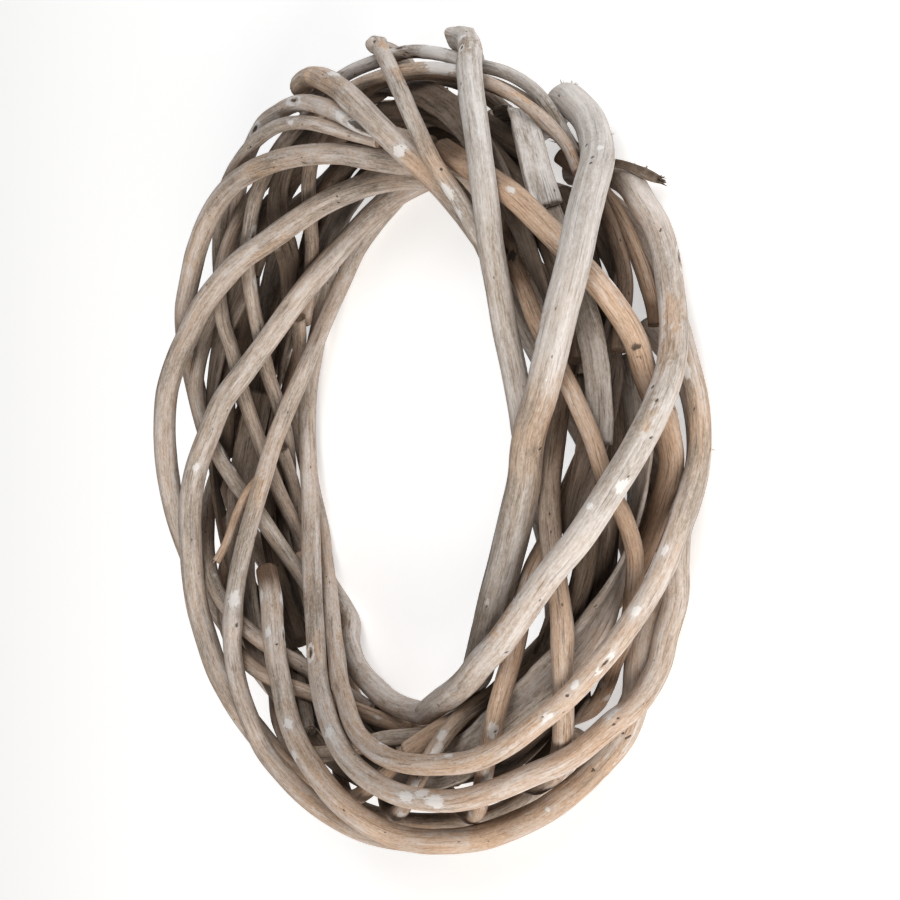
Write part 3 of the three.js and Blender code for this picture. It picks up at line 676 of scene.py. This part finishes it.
def look_fields(name, slot, surface, round_section, along, shares, rng):
    """The fields that the materials read over a piece's grid, and at the middle of its lids."""
    rows, columns = surface.shape[:2]
    count = len(LID_SHARES)
    offset = rng.uniform(-GRAIN_BLOCK, GRAIN_BLOCK, 3)
    lengthwise = np.broadcast_to(along[:, None, None] / MM, (rows, columns, 1))
    local = np.concatenate([round_section / MM, lengthwise], axis=2)
    # The grain runs on into the lids, which are bare of paint
    grain = repeat_ends(local, count)
    for k, share in enumerate(LID_SHARES):
        grain[count - 1 - k, :, :2] *= share
        grain[rows + count + k, :, :2] *= share
    # Painted shade: places deep in the bundle are darkened, as the rods shade each other there; some
    # pieces get more or less of it, and the twig's extra darkening is its dirt
    reach = np.hypot(*bundle_place(surface))
    depth = np.clip((SHADE_START - reach) / SHADE_SPAN, 0, 1)
    depth = np.clip(depth + DIRT_AND_SHADE.get(name, 0), 0, 1)
    wash, warmth = LOOKS.get(name, PLAIN_LOOK[slot])
    change = tones(name, surface)
    nature = np.stack([wash + change[..., 0], warmth + change[..., 1], depth + change[..., 2]], axis=-1)
    marks = np.stack([shares["dark"], shares["white"], shares["bare"]], axis=-1)
    marks = repeat_ends(marks, count)
    marks[:count, :, 2] = 1
    marks[-count:, :, 2] = 1
    return {
        "grain": with_ends(grain + offset),
        "marks": with_ends(marks),
        "nature": with_ends(repeat_ends(nature, count)),
    }


# Rods: how far they are out of round and how far they swell, as shares of their radius, and over what
# length; how much thinner they are than in the part; the height and lengths of their fine ridges, and
# the short ones' share; and how rough their ends are
OUT_OF_ROUND = 0.02
ROUND_WAVE = 45 * MM
SWELL = 0.03
SWELL_WAVE = 22 * MM
SHRINK = 0.05 * MM
RIDGES = 0.08 * MM
LONG_RIDGE = 14 * MM
SHORT_RIDGE = 4 * MM
SHORT_RIDGES = 0.5
ROD_END_ROUGHNESS = 0.4 * MM


def add_rod(name, slot, section, step, sides, plenty):
    """A round cane that swells slowly and is finely ridged along its grain, with knots and cracks."""
    rng = seeded(name)
    corners = sections_of(name, section[0])
    middles = corners.mean(axis=1)
    reach = np.median(np.linalg.norm(corners - middles[:, None], axis=2), axis=1) / section[1]
    places, values, along = curve_through(middles, reach[:, None], step)
    tangents, normals, across = steady_frames(places, outward_from(places[:1])[0])
    angles = np.arange(sides) * 2 * math.pi / sides
    outward = (np.cos(angles)[None, :, None] * normals[:, None]
               + np.sin(angles)[None, :, None] * across[:, None])
    girths = values[:, :1]
    plain = places[:, None] + outward * girths[..., None]
    seeds = mark_seeds(name, plain, outward, along, rng, plenty)
    arcs = angles[None, :] * girths
    rise, shares = lay_marks(seeds, along, arcs, 2 * math.pi * girths.mean(), rng)
    swell = 1 + SWELL * slow_noise(rng, along, SWELL_WAVE)[:, None]
    for lobes in (2, 3):
        for turn in (np.cos(lobes * angles), np.sin(lobes * angles)):
            swell = swell + OUT_OF_ROUND * slow_noise(rng, along, ROUND_WAVE)[:, None] * turn
    ridges = (streaks(rng, along, sides, LONG_RIDGE)
              + SHORT_RIDGES * streaks(rng, along, sides, SHORT_RIDGE))
    radii = girths * swell - SHRINK + RIDGES * ridges + rise
    surface = places[:, None] + outward * radii[..., None]
    round_section = np.stack([np.cos(angles) * girths, np.sin(angles) * girths], axis=-1)
    fields = look_fields(name, slot, surface, round_section, along, shares, rng)
    grid = closed_grid(surface, places[[0, -1]], tangents[[0, -1]], rng, ROD_END_ROUGHNESS)
    fibres = burr_fibres(seeds, surface, outward, rng) + end_fibres(name, surface, places, tangents, rng)
    add_piece(name, slot, grid, places[[0, -1]], fields, fibres)


# Splints: the columns round one; how square its outline is across and through, 1 being an ellipse and
# 0 a box; how much of its width is left, and how that and its edges waver; the depth, level and lengths
# of the grooves along its grain, and the short ones' share; its highest mark; how many chance marks it
# has against a full cane; and how rough its ends are
SPLINT_COLUMNS = 28
SQUARE_ACROSS = 0.75
SQUARE_THROUGH = 0.35
WIDTH_LEFT = 0.94
WIDTH_WAVER = 0.05
WIDTH_WAVE = 18 * MM
EDGE_WAVER = 0.03
EDGE_WAVE = 5 * MM
GROOVES = 0.22 * MM
GROOVE_LEVEL = 0.6
LONG_GROOVE = 30 * MM
SHORT_GROOVE = 8 * MM
SHORT_GROOVES = 0.6
HIGHEST_MARK = 0.1 * MM
SPLINT_PLENTY = 0.4
SPLINT_END_ROUGHNESS = 1.2 * MM


def signed_power(value, power):
    return np.sign(value) * np.abs(value) ** power


def splint_outline(width, thickness):
    """A flat oval with soft edges: its columns' places across the width and through the thickness."""
    angles = np.arange(SPLINT_COLUMNS) * 2 * math.pi / SPLINT_COLUMNS
    wide = signed_power(np.cos(angles), SQUARE_ACROSS) * width / 2
    thick = signed_power(np.sin(angles), SQUARE_THROUGH) * thickness / 2
    return wide, thick


def widest_ways(spread):
    """Each section's widest direction, with no turn back from one to the next, and its width."""
    directions = []
    widths = []
    for section in spread:
        direction = np.linalg.eigh(section.T @ section).eigenvectors[:, -1]
        if directions and direction @ directions[-1] < 0:
            direction = -direction
        directions.append(direction)
        widths.append(2 * np.abs(section @ direction).max())
    return np.array(directions), np.array(widths)


def add_splint(name, slot, step):
    """A flat split strip with a straight coarse grain, worn edges and long cracks."""
    rng = seeded(name)
    corners = sections_of(name, SPLINT_SIDES)
    middles = corners.mean(axis=1)
    spread = corners - middles[:, None]
    directions, widths = widest_ways(spread)
    through = unit(np.cross(np.gradient(middles, axis=0), directions))
    thickness = 2 * np.abs(np.einsum("ijk,ik->ij", spread, through)).max(axis=1).mean()
    values = np.concatenate([directions, widths[:, None]], axis=1)
    places, values, along = curve_through(middles, values, step)
    tangents = unit(np.gradient(places, axis=0))
    sideways = values[:, :3]
    across = unit(sideways - tangents * np.einsum("ij,ij->i", sideways, tangents)[:, None])
    facing = np.cross(tangents, across)
    width = values[:, 3].mean()
    wide, thick = splint_outline(width, thickness)
    wear = WIDTH_LEFT + WIDTH_WAVER * slow_noise(rng, along, WIDTH_WAVE)
    left = wear + EDGE_WAVER * slow_noise(rng, along, EDGE_WAVE)
    right = wear + EDGE_WAVER * slow_noise(rng, along, EDGE_WAVE)
    share = np.where(wide[None, :] > 0, right[:, None], left[:, None])
    flat = (places[:, None] + across[:, None] * wide[None, :, None]
            + facing[:, None] * thick[None, :, None])
    outward = facing[:, None] * np.sign(thick)[None, :, None]
    seeds = mark_seeds(name, flat, outward, along, rng, SPLINT_PLENTY)
    arcs = np.broadcast_to(np.where(thick >= 0, wide, 2 * width - wide)[None, :], flat.shape[:2])
    rise, shares = lay_marks(seeds, along, arcs, 4 * width, rng)
    grooves = (streaks(rng, along, SPLINT_COLUMNS, LONG_GROOVE)
               + SHORT_GROOVES * streaks(rng, along, SPLINT_COLUMNS, SHORT_GROOVE))
    depth = GROOVES * (grooves - GROOVE_LEVEL) + np.minimum(rise, HIGHEST_MARK)
    surface = (places[:, None] + across[:, None] * (wide * share)[..., None]
               + outward * (np.abs(thick)[None, :] + depth)[..., None])
    round_section = np.broadcast_to(np.stack([wide, thick], axis=-1)[None], (*flat.shape[:2], 2))
    fields = look_fields(name, slot, surface, round_section, along, shares, rng)
    grid = closed_grid(surface, places[[0, -1]], tangents[[0, -1]], rng, SPLINT_END_ROUGHNESS)
    add_piece(name, slot, grid, places[[0, -1]], fields, [])


# Materials: the colours of bark and dirt, of bare paint, and of each layer at its darkest and palest;
# what the painted shade deep in the bundle, and the twig's dirt, leave of a colour; the height of the
# bumps; and the gloss
BARK = (0.030, 0.021, 0.016, 1)
PAINT = (0.76, 0.735, 0.715, 1)
TAN_DEEP = (0.36, 0.235, 0.155, 1)
TAN_PALE = (0.60, 0.435, 0.315, 1)
GREY_DEEP = (0.23, 0.182, 0.142, 1)
GREY_PALE = (0.46, 0.39, 0.325, 1)
WASH_DEEP = (0.45, 0.412, 0.38, 1)
WASH_PALE = (0.67, 0.635, 0.612, 1)
SHADE_AND_DIRT_TINT = (0.245, 0.20, 0.167, 1)
WHITE = (1, 1, 1, 1)
BUMP_HEIGHT = 0.3 * MM
SPECULAR = 0.25


class Shader:
    """A short way to write a material's nodes."""

    def __init__(self, name):
        self.material = bpy.data.materials.new(name)
        self.material.use_nodes = True
        self.tree = self.material.node_tree
        self.tree.nodes.clear()

    def node(self, kind, settings=None, **inputs):
        node = self.tree.nodes.new(kind)
        for key, value in (settings or {}).items():
            setattr(node, key, value)
        for key, value in inputs.items():
            self.plug(node.inputs[key.replace("_", " ")], value)
        return node

    def plug(self, socket, value):
        if isinstance(value, bpy.types.NodeSocket):
            self.tree.links.new(value, socket)
        else:
            socket.default_value = value

    def field(self, name):
        node = self.node("ShaderNodeAttribute", {"attribute_name": name, "attribute_type": "GEOMETRY"})
        return node.outputs["Vector"]

    def split(self, vector):
        return self.node("ShaderNodeSeparateXYZ", Vector=vector).outputs

    def stretch(self, vector, sideways, lengthwise):
        """Places with their own scale across the grain and along it."""
        node = self.node("ShaderNodeVectorMath", {"operation": "MULTIPLY"})
        self.plug(node.inputs[0], vector)
        node.inputs[1].default_value = (sideways, sideways, lengthwise)
        return node.outputs["Vector"]

    def noise(self, vector, detail, roughness):
        return self.node("ShaderNodeTexNoise", Vector=vector, Scale=1.0, Detail=detail,
                         Roughness=roughness).outputs["Fac"]

    def cells(self, vector):
        return self.node("ShaderNodeTexVoronoi", Vector=vector, Scale=1.0).outputs

    def sum(self, *terms):
        """The sum of (factor, value) pairs."""
        total = None
        for factor, value in terms:
            node = self.node("ShaderNodeMath", {"operation": "MULTIPLY_ADD"})
            self.plug(node.inputs[0], value)
            self.plug(node.inputs[1], factor)
            self.plug(node.inputs[2], 0.0 if total is None else total)
            total = node.outputs[0]
        return total

    def times(self, a, b):
        node = self.node("ShaderNodeMath", {"operation": "MULTIPLY"})
        self.plug(node.inputs[0], a)
        self.plug(node.inputs[1], b)
        return node.outputs[0]

    def step(self, value, low, high, start=0.0, end=1.0):
        """A smooth change from start to end while the value goes from low to high."""
        node = self.node("ShaderNodeMapRange", {"interpolation_type": "SMOOTHSTEP"}, Value=value)
        for key, number in (("From Min", low), ("From Max", high), ("To Min", start), ("To Max", end)):
            node.inputs[key].default_value = number
        return node.outputs["Result"]

    def mix(self, share, low, high, blend="MIX"):
        """The low colour where the share is 0 and the high one, or their blend, where it is 1."""
        node = self.node("ShaderNodeMix", {"data_type": "RGBA", "blend_type": blend})
        self.plug(node.inputs["Factor"], share)
        colours = [socket for socket in node.inputs if socket.type == "RGBA"]
        self.plug(colours[0], low)
        self.plug(colours[1], high)
        return next(socket for socket in node.outputs if socket.type == "RGBA")

    def finish(self, colour, height, bump, roughness):
        bump_node = self.node("ShaderNodeBump", Height=height, Strength=bump, Distance=BUMP_HEIGHT)
        shader = self.node("ShaderNodeBsdfPrincipled", Base_Color=colour, Roughness=roughness,
                           Normal=bump_node.outputs["Normal"])
        shader.inputs["Specular IOR Level"].default_value = SPECULAR
        output = self.node("ShaderNodeOutputMaterial")
        self.tree.links.new(shader.outputs["BSDF"], output.inputs["Surface"])
        return self.material


def cane_material(name, fibre, lines, bump):
    """Weathered cane: streaky wood under what is left of a thin white wash.

    fibre is how fine the grain is, lines how dark its lines are, and bump how rough it looks.
    """
    shader = Shader(name)
    grain = shader.field("grain")
    dark, white, bare = shader.split(shader.field("marks"))
    wash, warmth, depth = shader.split(shader.field("nature"))

    # Noises, with how often each repeats in a millimetre across the grain and along it
    fine = shader.noise(shader.stretch(grain, 2.0 * fibre, 0.55), 4.0, 0.7)
    hair = shader.noise(shader.stretch(grain, 1.7 * fibre, 0.075), 3.0, 0.6)
    long_patch = shader.noise(shader.stretch(grain, 0.40, 0.06), 4.0, 0.62)
    round_patch = shader.noise(shader.stretch(grain, 0.30, 0.15), 4.0, 0.68)
    broad = shader.noise(shader.stretch(grain, 0.09, 0.025), 2.0, 0.5)
    bands = shader.noise(shader.stretch(grain, 0.55, 0.018), 2.0, 0.5)

    def ragged(share, edge):
        """A share that fades out over an uneven edge."""
        chance = shader.sum((1.0, share), (0.9, fine), (0.9, round_patch))
        return shader.step(chance, 0.9 + edge, 0.9 + edge + 0.18)

    # Wood, grey or warm
    tone = shader.sum((0.45, fine), (0.30, hair), (0.25, long_patch))
    wood = shader.mix(shader.step(tone, 0.36, 0.62), TAN_DEEP, TAN_PALE)
    grey_wood = shader.mix(shader.step(tone, 0.38, 0.62), GREY_DEEP, GREY_PALE)
    warm_share = shader.step(shader.sum((1.0, warmth), (1.4, broad), (1.3, long_patch)), 1.50, 2.15)
    wood = shader.mix(warm_share, grey_wood, wood)

    # What is left of the whitewash, thinner where the painted shade is deep
    cover = shader.sum((1.0, wash), (1.2, long_patch), (0.9, round_patch), (0.8, broad), (0.5, fine),
                       (0.7, bands), (-0.25, depth), (-1.0, bare), (0.5, white))
    cover = shader.step(cover, 2.05, 3.05)
    streaky = shader.step(shader.sum((0.35, fine), (0.15, round_patch), (0.5, bands)), 0.37, 0.63)
    paint = shader.mix(streaky, WASH_DEEP, WASH_PALE)
    colour = shader.mix(shader.times(cover, 0.88), wood, paint)

    # Dark grain lines, wormholes, flakes of paint, the marks, and the painted shade deep in the bundle
    # (on the twig, its dirt)
    colour = shader.mix(shader.times(shader.step(hair, 0.42, 0.34), lines), colour, BARK)
    cells = shader.cells(shader.stretch(grain, 0.42, 0.20))
    speck = shader.step(cells["Distance"], 0.17, 0.08)
    chosen = shader.step(shader.split(cells["Color"])[0], 0.90, 0.92)
    colour = shader.mix(shader.times(shader.times(speck, chosen), 0.75), colour, BARK)
    flakes = shader.step(shader.sum((0.6, round_patch), (0.4, fine)), 0.625, 0.665)
    colour = shader.mix(shader.times(flakes, 0.45), colour, PAINT)
    colour = shader.mix(shader.times(ragged(white, 0.44), 0.75), colour, PAINT)
    colour = shader.mix(shader.times(ragged(dark, 0.50), 0.85), colour, BARK)
    # Painted shade: the colour is darkened deep inside the bundle, where the rods shade each other; on
    # the twig the same darkening stands for its dirt
    shade_and_dirt = shader.mix(shader.step(depth, 0.10, 1.0, 0.0, 0.96), WHITE, SHADE_AND_DIRT_TINT)
    colour = shader.mix(1.0, colour, shade_and_dirt, "MULTIPLY")

    height = shader.sum((0.5, fine), (0.5, hair), (0.5, long_patch), (-0.8, dark), (0.12, cover),
                        (0.3, flakes))
    roughness = shader.step(fine, 0.3, 0.7, 0.78, 0.94)
    return shader.finish(colour, height, bump, roughness)


materials = {
    "whitewashed_rod": cane_material("whitewashed_rod", 1.0, 0.30, 0.80),
    "tan_rod": cane_material("tan_rod", 1.1, 0.40, 0.80),
    "grey_rod": cane_material("grey_rod", 1.1, 0.50, 0.90),
    "core_cane": cane_material("core_cane", 1.0, 0.50, 0.80),
}

# The pieces: the section, how far apart a rod's rows are, how many sides it has, and how many chance
# marks it has against a full cane
THICK_ROD = (THICK_SECTION, 1.1 * MM, 34, 1.0)
THIN_ROD = (THIN_SECTION, 1.3 * MM, 20, 1.0)
TWIG = (THIN_SECTION, 1.3 * MM, 20, 0.0)
CORE_ROD = (THIN_SECTION, 3 * MM, 12, 0.3)
SPLINT_STEP = 1.8 * MM

slot_of = {entry["node"]: entry["material_slot"] for entry in frame["record"]["subparts"]}
for name in sorted(frame["nodes"]):
    slot = slot_of[name]
    if name.startswith("core_splint"):
        add_splint(name, slot, SPLINT_STEP)
    elif name.startswith("core_rod"):
        add_rod(name, slot, *CORE_ROD)
    elif name.startswith("thick_rod"):
        add_rod(name, slot, *THICK_ROD)
    elif name == "broken_twig":
        add_rod(name, slot, *TWIG)
    else:
        add_rod(name, slot, *THIN_ROD)

# Floor and light
FLOOR_SIZE = 6.0
FLOOR_GAP = 0.2 * MM
FLOOR_COLOUR = (0.86, 0.86, 0.86, 1)
FLOOR_GLOW = 0.50
SKY = 0.13
SKY_COLOUR = (0.97, 0.98, 1.0, 1)
# Soft boxes: name, direction from the ring, distance and size in metres, watts, and colour
LIGHTS = [
    ("key", 0.5 * UP + 0.9 * TOWARDS - 0.25 * RIGHT, 1.2, 0.6, 8.5, (1, 1, 1)),
    ("top", UP + 0.3 * TOWARDS, 1.2, 0.6, 1.5, (0.94, 0.97, 1.0)),
    ("low", 0.8 * TOWARDS - 0.8 * UP, 1.4, 0.8, 16.5, (1.0, 0.95, 0.89)),
]


def add_floor():
    """A white floor under the wreath that glows a little, for the photograph's plain background."""
    mesh = bpy.data.meshes.new("floor")
    half = FLOOR_SIZE / 2
    low = cad_box[0][2] - FLOOR_GAP
    corners = [(-half, -half, low), (half, -half, low), (half, half, low), (-half, half, low)]
    mesh.from_pydata(corners, [], [(0, 1, 2, 3)])
    floor = bpy.data.objects.new("floor", mesh)
    bpy.context.scene.collection.objects.link(floor)
    shader = Shader("floor")
    paper = shader.node("ShaderNodeBsdfDiffuse", Color=FLOOR_COLOUR)
    glow = shader.node("ShaderNodeEmission", Color=WHITE, Strength=FLOOR_GLOW)
    both = shader.node("ShaderNodeAddShader")
    shader.tree.links.new(paper.outputs[0], both.inputs[0])
    shader.tree.links.new(glow.outputs[0], both.inputs[1])
    output = shader.node("ShaderNodeOutputMaterial")
    shader.tree.links.new(both.outputs[0], output.inputs["Surface"])
    mesh.materials.append(shader.material)


def add_light(name, direction, distance, size, power, colour):
    """A square soft box that looks at the ring."""
    data = bpy.data.lights.new(name, "AREA")
    data.shape = "SQUARE"
    data.size = size
    data.energy = power
    data.color = colour
    light = bpy.data.objects.new(name, data)
    direction = unit(direction)
    light.location = Vector(RING_CENTRE + direction * distance)
    light.rotation_euler = Vector(direction).to_track_quat("Z", "Y").to_euler()
    bpy.context.scene.collection.objects.link(light)


def add_world():
    """An even, pale and weak light from all round."""
    world = bpy.data.worlds.new("studio")
    world.use_nodes = True
    background = world.node_tree.nodes["Background"]
    background.inputs["Color"].default_value = SKY_COLOUR
    background.inputs["Strength"].default_value = SKY
    bpy.context.scene.world = world


add_floor()
for light in LIGHTS:
    add_light(*light)
add_world()
bpy.context.scene.view_settings.view_transform = "Standard"
